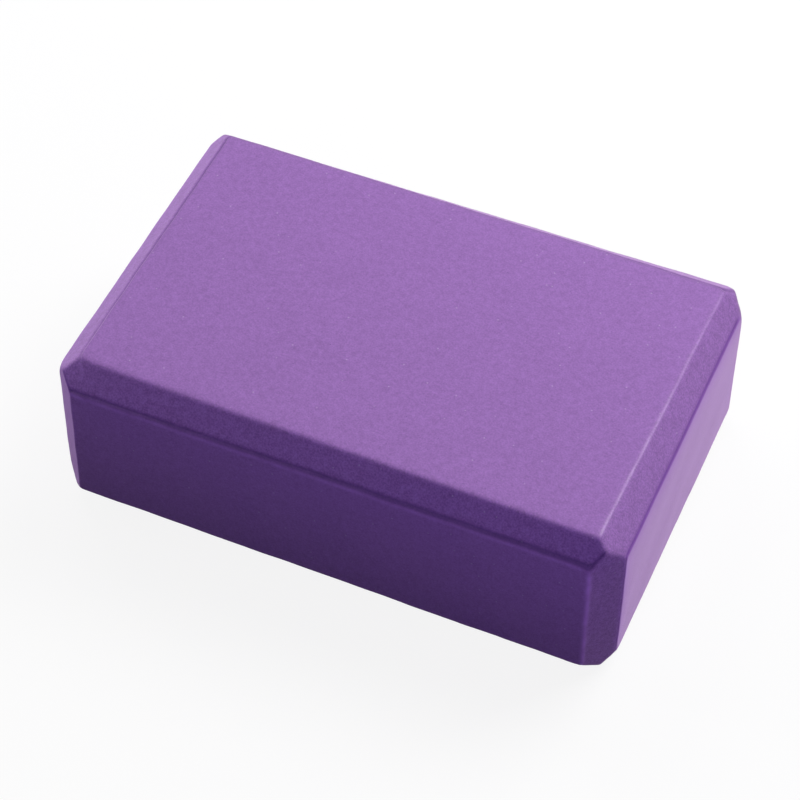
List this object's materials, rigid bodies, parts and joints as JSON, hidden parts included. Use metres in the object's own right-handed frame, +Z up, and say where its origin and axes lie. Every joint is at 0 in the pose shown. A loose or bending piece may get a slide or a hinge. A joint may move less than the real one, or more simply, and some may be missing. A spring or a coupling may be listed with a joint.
{
  "type": "yoga block",
  "caption": "Rectangular closed-cell foam yoga block with bevelled edges, bonded from sheets, a light support for hand, foot or seat that can lie on any of its faces.",
  "frame": {"origin": "centre of the face that the block lies on", "axes": "+X along the length, +Y along the width, +Z up through the thickness"},
  "size_m": [0.2286, 0.1524, 0.0762],
  "materials": {
    "foam": "matt purple closed-cell EVA foam, sanded faces with fine pores",
    "bond": "thin colour-matched contact adhesive"
  },
  "bodies": {
    "root": {"bottom_sheet": "foam", "lower_bond_film": "bond", "core_sheet": "foam", "upper_bond_film": "bond", "top_sheet": "foam"}
  },
  "joints": []
}
